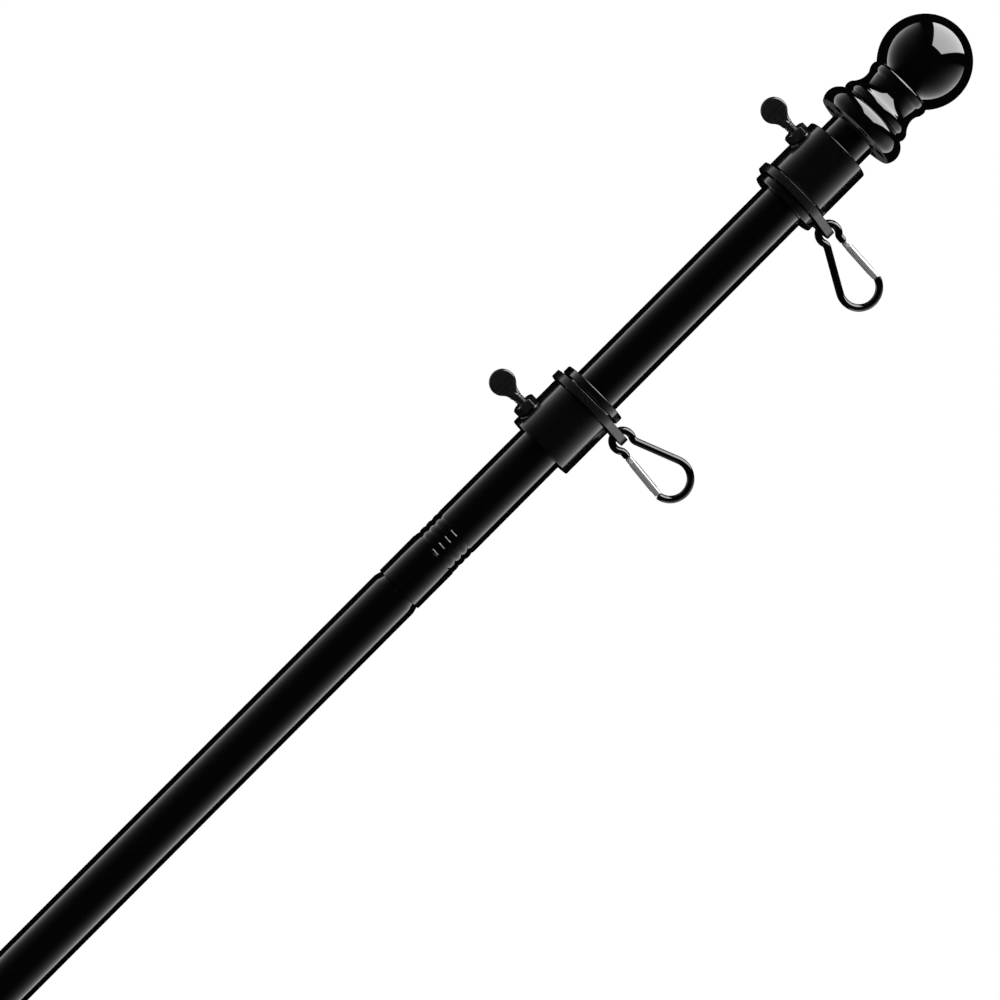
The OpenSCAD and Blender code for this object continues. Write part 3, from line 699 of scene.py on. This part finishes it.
# ---------------------------------------------------------------- carabiners
WIRE_R = 1.87
HOOK_R = 5.03
BOW_R = 9.9
BOW_X = 29.19
BOW_RISE = 0.63
BOW_OVER = 0.31
SPINE_LINE = 2.31
SPINE_KINK = 3.5
GATE_LINE = 3.07
GATE_SLOPE = math.radians(1.97)
GATE_KINK = 3.0
RIVET_AT = 10.0
GATE_R = 1.95
GATE_GAP = 0.35
CHEEK_R = GATE_R + 0.15
TONGUE_T = 1.6
TONGUE_R = 1.3
SLOT_T = TONGUE_T + 0.4
LATCH_LEN = 2.6
LATCH_R = 0.7
LATCH_ROOT = 0.3
LATCH_HEAD = 0.8
LATCH_HEAD_R = 1.2
SLOT_END = 0.4
WIRE_EASE = 0.25
WIRE_END = 0.86
RIVET_R = 0.7
RIVET_HEAD = 0.45
RIVET_GAP = 0.1
RIVET_RIM = 0.12
RIVET_DOME = 0.23
SAG = {"upper": 0.0, "lower": math.radians(7)}

GATE_DIR = np.array([math.cos(GATE_SLOPE), -math.sin(GATE_SLOPE)])
GATE_UP = np.array([math.sin(GATE_SLOPE), math.cos(GATE_SLOPE)])
BOW_C = np.array([BOW_X, (GATE_LINE + BOW_RISE - BOW_R - BOW_X * GATE_UP[0]) / GATE_UP[1]])
SPINE_SLOPE = math.asin((BOW_R - SPINE_LINE) / np.linalg.norm(BOW_C)) - math.atan2(BOW_C[1], BOW_C[0])
SPINE_DIR = np.array([math.cos(SPINE_SLOPE), -math.sin(SPINE_SLOPE)])
SPINE_UP = np.array([math.sin(SPINE_SLOPE), math.cos(SPINE_SLOPE)])
BOW_STOP = math.asin((BOW_R - BOW_RISE + BOW_OVER) / BOW_R) - GATE_SLOPE
BOW_TIP = BOW_C + BOW_R * np.array([math.cos(BOW_STOP), math.sin(BOW_STOP)])
GATE_FROM = RIVET_AT - CHEEK_R
GATE_TO = BOW_TIP @ GATE_DIR - 2 * GATE_GAP


def kink(line, radius, up, along):
    """Centre of the kink between the hook and a straight line that passes the hook's centre at `line`."""
    run = math.sqrt((HOOK_R + radius) ** 2 - (line + radius) ** 2)
    return (line + radius) * up + run * along


NOSE_C = kink(GATE_LINE, GATE_KINK, GATE_UP, GATE_DIR)
KINK_C = kink(SPINE_LINE, SPINE_KINK, -SPINE_UP, SPINE_DIR)


def hung(side, u, v, w):
    """Carries a carabiner's own points to its ring: u runs outwards, v towards the collar and w across."""
    z = (low(f"{side}_swivel_ring")[2] + high(f"{side}_swivel_ring")[2]) / 2
    towards = 1 if side == "upper" else -1
    c, s = math.cos(SAG[side]), math.sin(SAG[side])
    return np.stack([WEB_X + u * c - v * s, w * np.ones_like(u), z + towards * (u * s + v * c)], -1)


def on_gate(x, v):
    """A point x along the gate's line and v across it, in the carabiner's own plane."""
    off = GATE_LINE + v
    return x * GATE_DIR[0] + off * GATE_UP[0], x * GATE_DIR[1] + off * GATE_UP[1]


def wire_path():
    """The wire's centre line: nose, kink, hook, kink, straight spine and the large end's arc."""
    hook_from = math.degrees(math.atan2(NOSE_C[1], NOSE_C[0]))
    hook_to = math.degrees(math.atan2(KINK_C[1], KINK_C[0])) + 360
    gate_turn, spine_turn = math.degrees(GATE_SLOPE), math.degrees(SPINE_SLOPE)
    nose_from = NOSE_C - GATE_KINK * GATE_UP
    nose_end = (GATE_FROM - GATE_GAP) * GATE_DIR + GATE_LINE * GATE_UP
    path = [nose_end + (nose_from - nose_end) * t for t in np.linspace(0, 1, 4)]
    path += arc(NOSE_C, GATE_KINK, 270 - gate_turn, hook_from + 180, 12)[1:]
    path += arc((0, 0), HOOK_R, hook_from, hook_to, 64)[1:]
    path += arc(KINK_C, SPINE_KINK, hook_to - 180, 90 - spine_turn, 10)[1:]
    spine_end = BOW_C - BOW_R * SPINE_UP
    spine_from = KINK_C + SPINE_KINK * SPINE_UP
    path += [spine_from + (spine_end - spine_from) * t for t in np.linspace(0, 1, 9)[1:]]
    path += arc(BOW_C, BOW_R, -90 - spine_turn, math.degrees(BOW_STOP), 56)[1:]
    return np.array(path)


def wire(side):
    """A round section carried along the wire's path, with its two ends eased and closed."""
    path = wire_path()
    run = np.gradient(path, axis=0)
    run /= np.linalg.norm(run, axis=1)[:, None]
    out = np.stack([run[:, 1], -run[:, 0]], -1)
    first = [(path[0], out[0], 0), (path[0], out[0], WIRE_R * WIRE_END)]
    first += [(path[0] + run[0] * WIRE_EASE, out[0], WIRE_R)]
    last = [(path[-1] - run[-1] * WIRE_EASE, out[-1], WIRE_R)]
    last += [(path[-1], out[-1], WIRE_R * WIRE_END), (path[-1], out[-1], 0)]
    rows = first + [(place, way, WIRE_R) for place, way in zip(path[1:-1], out[1:-1])] + last
    centre = np.array([r[0] for r in rows])
    normal = np.array([r[1] for r in rows])
    size = np.array([r[2] for r in rows])[:, None]
    t = round_angles(28)[None, :]
    u = centre[:, :1] + normal[:, :1] * size * np.cos(t)
    v = centre[:, 1:] + normal[:, 1:] * size * np.cos(t)
    return grid(hung(side, u, v, size * np.sin(t)))


def plate(side, x0, x1, half, thick, round_r=0.0):
    """A flat tongue on the gate's line, with eased edges, and a round end where `round_r` isn't 0.

    Rows run from the middle of one face out to its edge, round it, and in to the middle of the other.
    """
    t = np.linspace(-math.pi / 2, math.pi / 2, 13)
    end_x = x1 - round_r + round_r * np.cos(t)
    end_v = half * np.sin(t)
    x = np.concatenate([[x0, x0], end_x]) if round_r else np.array([x0, x1, x1, x0])
    v = np.concatenate([[half, -half], end_v]) if round_r else np.array([-half, -half, half, half])
    middle_x, middle_v = x.mean(), v.mean()
    rows = []
    for share, w in ((0, -1), (0.9, -1), (1, -0.8), (1, 0.8), (0.9, 1), (0, 1)):
        u2, v2 = on_gate(middle_x + (x - middle_x) * share, middle_v + (v - middle_v) * share)
        rows.append(hung(side, u2, v2, w * thick / 2))
    return grid(np.stack(rows))


def cheek(side, sign, x0, x1, round_start):
    """One cheek of the gate: the part of its round bar outside the slot.

    Points across the slot run v from edge to edge, on the bar's surface w = sqrt(r^2 - v^2) and on the slot's
    side. A rounded start follows x = rivet - sqrt(cheek^2 - v^2).
    """
    edge = math.sqrt(GATE_R ** 2 - (SLOT_T / 2) ** 2)
    v = edge * np.sin(np.linspace(-math.pi / 2, math.pi / 2, 17))
    start = RIVET_AT - np.sqrt(CHEEK_R ** 2 - v ** 2) if round_start else np.full(v.shape, x0)
    outer = sign * np.sqrt(GATE_R ** 2 - v ** 2)
    inner = np.full(v.shape, sign * SLOT_T / 2)
    rows = []
    stop = np.full(v.shape, x1)
    for x, w in ((start, inner), (start, outer), (stop, outer), (stop, inner)):
        u2, v2 = on_gate(x, v)
        rows.append(hung(side, u2, v2, w))
    return grid(np.stack(rows), wrap_rows=True, wrap_cols=False)


def gate(side):
    """The gate's bar: a round middle with eased ends, and two cheeks at either end beside its slots."""
    hinge_end = RIVET_AT + TONGUE_R + SLOT_END
    latch_start = GATE_TO - LATCH_LEN - 0.6
    t = round_angles(32)[None, :]
    x = np.array([hinge_end, hinge_end, latch_start, latch_start])[:, None]
    radius = np.array([0, GATE_R, GATE_R, 0])[:, None]
    u, v = on_gate(x + 0 * t, radius * np.cos(t))
    parts = [grid(hung(side, u, v, radius * np.sin(t)))]
    for sign in (-1, 1):
        parts.append(cheek(side, sign, 0, hinge_end, True))
        parts.append(cheek(side, sign, latch_start, GATE_TO, False))
    return parts


def rivet(side):
    """A pin across the gate with a low domed head at each end."""
    u, v = on_gate(np.array(RIVET_AT), np.array(0.0))
    centre = hung(side, u, v, 0.0)
    head = RIVET_R + RIVET_HEAD
    base_y = GATE_R + RIVET_GAP
    dome = [(head * math.cos(t), base_y + RIVET_RIM + RIVET_DOME * math.sin(t))
            for t in np.linspace(0, math.pi / 2, 6)]
    dome[-1] = (0, dome[-1][1])
    half = [(RIVET_R, base_y), (head, base_y)] + dome
    profile = [(r, -h) for r, h in half[::-1]] + half
    return [turned(profile, round_angles(32), axis="y", wrap=False, offset=centre)]


for side in SIDES:
    nose_x = float((NOSE_C - GATE_KINK * GATE_UP) @ GATE_DIR)
    latch_x = float(BOW_TIP @ GATE_DIR)
    tongues = [plate(side, nose_x, RIVET_AT + TONGUE_R, TONGUE_R, TONGUE_T, TONGUE_R),
               plate(side, latch_x - LATCH_LEN, latch_x + LATCH_ROOT, LATCH_R, TONGUE_T),
               plate(side, latch_x - LATCH_LEN, latch_x - LATCH_LEN + LATCH_HEAD, LATCH_HEAD_R, TONGUE_T)]
    hook = make(f"{side}_bent_wire_hook", [wire(side)] + tongues, wire_coat, crease=40)
    stands_for(hook, f"{side}_hook")
    bar = make(f"{side}_spring_gate", gate(side), gate_silver, crease=40, bevel=0.12)
    stands_for(bar, f"{side}_gate")
    stands_for(make(f"{side}_gate_rivet", rivet(side), rivet_steel), f"{side}_rivet")

# ---------------------------------------------------------------- studio
VIEW_TURN = math.radians(-10)
VIEW_FAR = 2.03
LOOK_Z = 1.2089
EYE_Z = 1.1441
ROLL = math.radians(44.916)
SHIFT_MM = 4.1
LENS_MM = 153
SENSOR_MM = 36

camera_way = Vector((math.sin(VIEW_TURN), -math.cos(VIEW_TURN), 0))
side_way = Vector((math.cos(VIEW_TURN), math.sin(VIEW_TURN), 0))
eye = camera_way * VIEW_FAR + Vector((0, 0, EYE_Z))
aim = side_way * SHIFT_MM * MM + Vector((0, 0, LOOK_Z))
back = (eye - aim).normalized()
right = Vector((0, 0, 1)).cross(back).normalized()
upward = back.cross(right)
c, s = math.cos(ROLL), math.sin(ROLL)
right, upward = right * c + upward * s, upward * c - right * s
camera = bpy.data.objects.new("camera", bpy.data.cameras.new("camera"))
camera.data.lens = LENS_MM
camera.data.sensor_width = SENSOR_MM
camera.matrix_world = Matrix((
    (right.x, upward.x, back.x, eye.x),
    (right.y, upward.y, back.y, eye.y),
    (right.z, upward.z, back.z, eye.z),
    (0, 0, 0, 1),
))
bpy.context.scene.collection.objects.link(camera)
bpy.context.scene.camera = camera
bpy.context.scene.view_settings.view_transform = "Standard"


def maths(tree, kind, *values, clamp=False):
    """A Math node on numbers or sockets."""
    node = tree.nodes.new("ShaderNodeMath")
    node.operation = kind
    node.use_clamp = clamp
    for socket, value in zip(node.inputs, values):
        if isinstance(value, (int, float)):
            socket.default_value = value
        else:
            tree.links.new(value, socket)
    return node.outputs[0]


def dotted(tree, vector, way):
    """How far a vector reaches along a fixed direction."""
    node = tree.nodes.new("ShaderNodeVectorMath")
    node.operation = "DOT_PRODUCT"
    tree.links.new(vector, node.inputs[0])
    node.inputs[1].default_value = way
    return node.outputs["Value"]


def between(tree, value, start, end, soft):
    """1 from start to end, with edges `soft` wide."""
    rise = maths(tree, "DIVIDE", maths(tree, "SUBTRACT", value, start), soft, clamp=True)
    fall = maths(tree, "DIVIDE", maths(tree, "SUBTRACT", end, value), soft, clamp=True)
    return maths(tree, "MULTIPLY", rise, fall)


STUDIO_R = 3.0
STUDIO_Z = 1.2
TOP_GLOW = 5.0
SIDE_GLOW = 2.65
SIDE_FALL = 4.4
SIDE_MORE = 0.25
SIDE_SLOWER = 0.6
TAIL_GLOW = 0.12
TAIL_FALL = 1.6
DARK_GLOW = 0.002
EDGE_COS = -0.284
EDGE_SOFT = 0.01
LENS_DIP = math.radians(5)
TOP_SPREAD = 0.53
TOP_SPREAD_SOFT = 0.02
TOP_TAPER = 0.1
TOP_FRONT = 1.25
TOP_FRONT_SOFT = 0.03
FAR_BESIDE = -2
FAR_BACK = -5
SIDE_LOW = 1.7
SIDE_LOW_SOFT = 0.6
SIDE_HIGH = 1.0
SIDE_HIGH_SOFT = 0.8
DEPTH_MOST = 0.3
LEAST = 0.001

FLOOR_RINGS = (0.0, 0.5, 1.0, 1.5, 2.0, 2.6)
FLOOR_DROP_MM = 0.5
FLOOR_GREY = (0.86, 0.86, 0.86, 1)
FLOOR_ROUGH = 0.7
FADE_FROM = 0.9
FADE_TO = 2.5

WORLD_LIGHT = 0.55
LAMP_SIZE = 1.4


def studio_walls():
    """The dark walls round the set, with a panel overhead and one at either side, seen only in reflections.

    With t towards the lens, s to the side and u up, all from the middle of the set: no panel lies where t
    is under EDGE_COS. The overhead one is where |s/u| < 0.53 - 0.1 t/u and t/u < 1.25. The side ones lie
    over -1.7 < u/|s| < 1, and their light falls as exp(-k t/|s|) towards the lens, with k larger on one
    side than on the other, and a fainter tail that falls more slowly.
    """
    rows, cols = 48, 96
    polar = np.linspace(0, math.pi, rows)[:, None]
    turn = round_angles(cols)[None, :]
    points = [np.sin(polar) * np.cos(turn), np.sin(polar) * np.sin(turn), np.cos(polar) + 0 * turn]
    middle = np.array([0, 0, STUDIO_Z / MM])
    mat = bpy.data.materials.new("studio_walls")
    mat.use_nodes = True
    tree = mat.node_tree
    tree.nodes.clear()
    where = tree.nodes.new("ShaderNodeTexCoord")
    shift = tree.nodes.new("ShaderNodeVectorMath")
    shift.operation = "SUBTRACT"
    shift.inputs[1].default_value = (0, 0, STUDIO_Z)
    tree.links.new(where.outputs["Object"], shift.inputs[0])
    unit = tree.nodes.new("ShaderNodeVectorMath")
    unit.operation = "NORMALIZE"
    tree.links.new(shift.outputs[0], unit.inputs[0])
    way = unit.outputs[0]
    lens_way = camera_way * math.cos(LENS_DIP) - Vector((0, 0, math.sin(LENS_DIP)))
    towards = dotted(tree, way, lens_way)
    across = dotted(tree, way, side_way)
    hand = maths(tree, "SIGN", across)
    sideways = maths(tree, "MAXIMUM", maths(tree, "ABSOLUTE", across), LEAST)
    upwards = dotted(tree, way, Vector((0, 0, 1)))
    height = maths(tree, "MAXIMUM", upwards, LEAST)
    kept = maths(tree, "DIVIDE", maths(tree, "SUBTRACT", towards, EDGE_COS), EDGE_SOFT, clamp=True)
    forward = maths(tree, "DIVIDE", towards, height)
    taper = maths(tree, "MULTIPLY", forward, TOP_TAPER)
    flare = maths(tree, "ADD", maths(tree, "DIVIDE", sideways, height), taper)
    top = maths(tree, "MULTIPLY", between(tree, flare, FAR_BESIDE, TOP_SPREAD, TOP_SPREAD_SOFT),
                between(tree, forward, FAR_BACK, TOP_FRONT, TOP_FRONT_SOFT))
    slope = maths(tree, "DIVIDE", upwards, sideways)
    rise = maths(tree, "DIVIDE", maths(tree, "ADD", slope, SIDE_LOW), SIDE_LOW_SOFT, clamp=True)
    fall = maths(tree, "DIVIDE", maths(tree, "SUBTRACT", SIDE_HIGH, slope), SIDE_HIGH_SOFT, clamp=True)
    depth = maths(tree, "SUBTRACT", EDGE_COS, maths(tree, "DIVIDE", towards, sideways))
    depth = maths(tree, "MINIMUM", depth, DEPTH_MOST)
    steep = maths(tree, "SUBTRACT", SIDE_FALL, maths(tree, "MULTIPLY", hand, SIDE_SLOWER))
    power = maths(tree, "ADD", maths(tree, "MULTIPLY", hand, SIDE_MORE), SIDE_GLOW)
    near = maths(tree, "EXPONENT", maths(tree, "MULTIPLY", depth, steep))
    far = maths(tree, "EXPONENT", maths(tree, "MULTIPLY", depth, TAIL_FALL))
    beside = maths(tree, "MULTIPLY", near, power)
    tail = maths(tree, "MULTIPLY", far, TAIL_GLOW)
    beside = maths(tree, "MULTIPLY", maths(tree, "ADD", beside, tail), maths(tree, "MULTIPLY", rise, fall))
    light = maths(tree, "ADD", maths(tree, "MULTIPLY", top, TOP_GLOW), beside)
    light = maths(tree, "ADD", maths(tree, "MULTIPLY", light, kept), DARK_GLOW)
    glow = tree.nodes.new("ShaderNodeEmission")
    tree.links.new(light, glow.inputs["Strength"])
    out = tree.nodes.new("ShaderNodeOutputMaterial")
    tree.links.new(glow.outputs[0], out.inputs["Surface"])
    walls = make("studio_walls", [grid(np.stack(points, -1) * STUDIO_R / MM + middle)], mat)
    walls.visible_camera = False
    walls.visible_diffuse = False
    walls.visible_shadow = False
    walls.visible_transmission = False
    walls.visible_volume_scatter = False
    return walls


def pale_floor():
    """A round pale floor that brightens to plain white at its rim, so that it has no visible edge."""
    rows = np.array(FLOOR_RINGS)[:, None] / MM
    turn = round_angles(96)[None, :]
    points = np.stack([rows * np.cos(turn), rows * np.sin(turn), 0 * rows * turn - FLOOR_DROP_MM], -1)
    mat = bpy.data.materials.new("pale_floor")
    mat.use_nodes = True
    tree = mat.node_tree
    shader = tree.nodes["Principled BSDF"]
    shader.inputs["Base Color"].default_value = FLOOR_GREY
    shader.inputs["Roughness"].default_value = FLOOR_ROUGH
    where = tree.nodes.new("ShaderNodeTexCoord")
    flat = tree.nodes.new("ShaderNodeVectorMath")
    flat.operation = "LENGTH"
    tree.links.new(where.outputs["Object"], flat.inputs[0])
    fade = tree.nodes.new("ShaderNodeMapRange")
    fade.interpolation_type = "SMOOTHSTEP"
    fade.inputs["From Min"].default_value = FADE_FROM
    fade.inputs["From Max"].default_value = FADE_TO
    tree.links.new(flat.outputs["Value"], fade.inputs["Value"])
    white = tree.nodes.new("ShaderNodeEmission")
    mix = tree.nodes.new("ShaderNodeMixShader")
    tree.links.new(fade.outputs["Result"], mix.inputs["Fac"])
    tree.links.new(shader.outputs[0], mix.inputs[1])
    tree.links.new(white.outputs[0], mix.inputs[2])
    tree.links.new(mix.outputs[0], tree.nodes["Material Output"].inputs["Surface"])
    floor = make("pale_floor", [grid(points)], mat)
    floor.visible_glossy = False
    return floor


studio_walls()
pale_floor()

world = bpy.data.worlds.new("white_studio")
bpy.context.scene.world = world
world.use_nodes = True
sky = world.node_tree
ray = sky.nodes.new("ShaderNodeLightPath")
shown = maths(sky, "ADD", ray.outputs["Is Camera Ray"], ray.outputs["Is Glossy Ray"], clamp=True)
shown = maths(sky, "ADD", shown, ray.outputs["Is Transmission Ray"], clamp=True)
strength = maths(sky, "ADD", maths(sky, "MULTIPLY", shown, 1 - WORLD_LIGHT), WORLD_LIGHT)
sky.links.new(strength, sky.nodes["Background"].inputs["Strength"])
sky.nodes["Background"].inputs["Color"].default_value = (1, 1, 1, 1)


def soft_lamp(name, forward, aside, height, power):
    """A square area lamp that faces the middle of the set, placed towards the lens, to the side and up."""
    lamp = bpy.data.objects.new(name, bpy.data.lights.new(name, "AREA"))
    lamp.data.size = LAMP_SIZE
    lamp.data.energy = power
    lamp.location = camera_way * forward + side_way * aside + Vector((0, 0, height))
    facing = Vector((0, 0, STUDIO_Z)) - lamp.location
    lamp.rotation_euler = facing.to_track_quat("-Z", "Y").to_euler()
    lamp.visible_glossy = False
    bpy.context.scene.collection.objects.link(lamp)


soft_lamp("key_lamp", 1.6, -1.2, 2.9, 26)
soft_lamp("fill_lamp", 1.2, 1.8, 1.6, 12)
